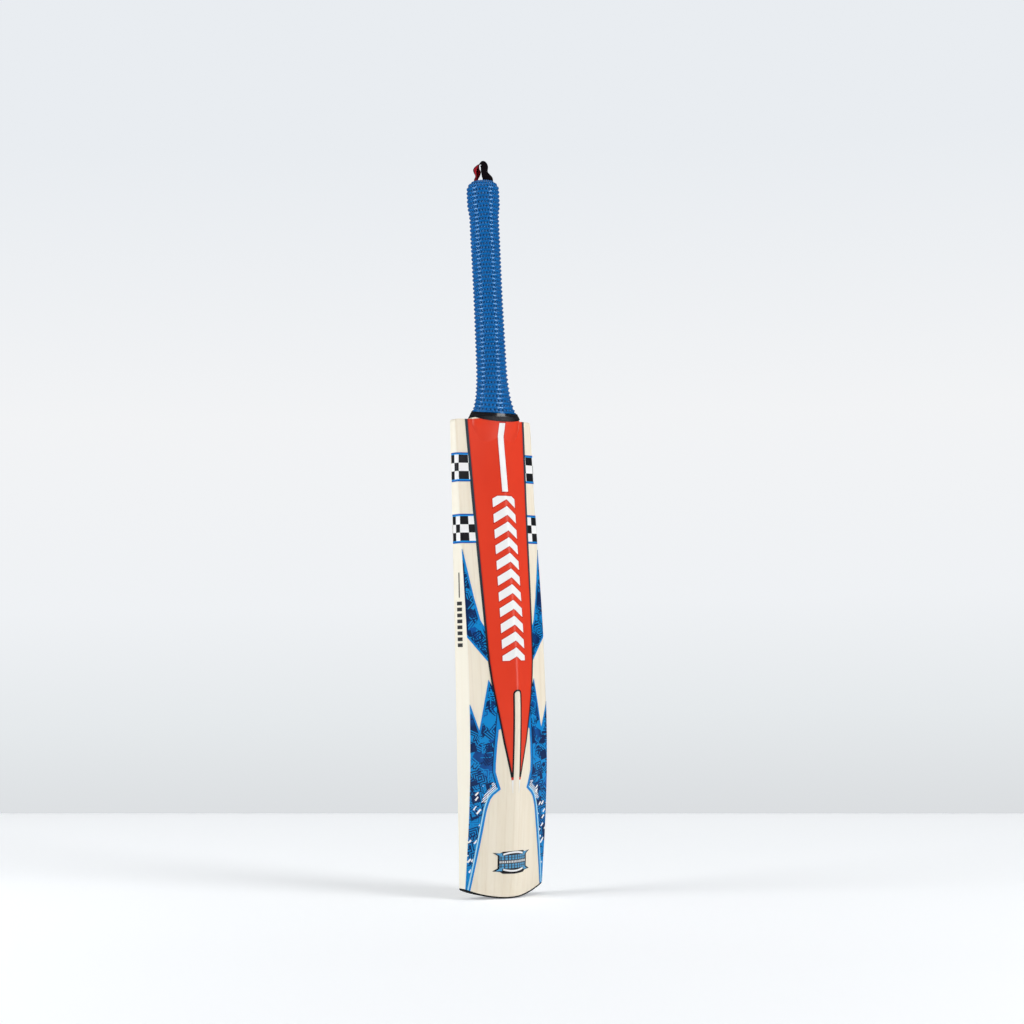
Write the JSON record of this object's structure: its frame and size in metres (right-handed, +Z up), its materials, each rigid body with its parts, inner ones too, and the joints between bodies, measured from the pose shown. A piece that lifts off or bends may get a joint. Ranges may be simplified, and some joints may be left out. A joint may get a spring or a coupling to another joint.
{
  "type": "cricket bat",
  "caption": "Full-size cricket bat: ridged willow blade with a spliced cane handle, ribbed rubber grip, vinyl labels, toe guard and hang loop.",
  "frame": {"origin": "middle of the bounding box in X and Y, at the bottom of the toe", "axes": "+Z up the blade from the toe to the handle; +Y out of the hitting face; the ridged back with its labels looks along -Y; +X to the right when the back is looked at"},
  "size_m": [0.1088, 0.0712, 0.8704],
  "materials": {
    "willow": "fine-sanded pale willow, satin",
    "toe_rubber": "matte black",
    "cane": "sanded cane, satin",
    "spring_rubber": "matte black",
    "twine": "waxed linen twine, tightly wound",
    "grip_rubber": "saturated blue, ribbed and dotted, semi-matte",
    "collar_tape": "glossy black tape",
    "loop_ribbon": "woven black ribbon, red on its inner side",
    "spine_vinyl": "red-orange vinyl with a dark border",
    "band_vinyl": "black and white chequers between blue lines",
    "flank_vinyl": "deep blue vinyl with thin line work and a light blue border",
    "badge_vinyl": "dark badge with blue panels",
    "edge_print": "matte black transfer"
  },
  "bodies": {
    "root": {"willow_blade": "willow", "toe_guard": "toe_rubber", "cane_strip_back_left": "cane", "cane_strip_back_middle": "cane", "cane_strip_back_right": "cane", "cane_strip_rear_inner_left": "cane", "cane_strip_rear_inner_middle": "cane", "cane_strip_rear_inner_right": "cane", "cane_strip_front_inner_left": "cane", "cane_strip_front_inner_middle": "cane", "cane_strip_front_inner_right": "cane", "cane_strip_front_left": "cane", "cane_strip_front_middle": "cane", "cane_strip_front_right": "cane", "rubber_spring_back": "spring_rubber", "rubber_spring_middle": "spring_rubber", "rubber_spring_front": "spring_rubber", "twine_binding_lower": "twine", "twine_binding_middle": "twine", "twine_binding_upper": "twine", "rubber_grip": "grip_rubber", "collar_tape": "collar_tape", "hang_loop": "loop_ribbon", "spine_label": "spine_vinyl", "chequer_band_upper_left": "band_vinyl", "chequer_band_lower_left": "band_vinyl", "chequer_band_upper_right": "band_vinyl", "chequer_band_lower_right": "band_vinyl", "flank_label_upper_left": "flank_vinyl", "flank_label_lower_left": "flank_vinyl", "flank_label_upper_right": "flank_vinyl", "flank_label_lower_right": "flank_vinyl", "toe_badge": "badge_vinyl", "edge_marks": "edge_print"}
  },
  "joints": []
}
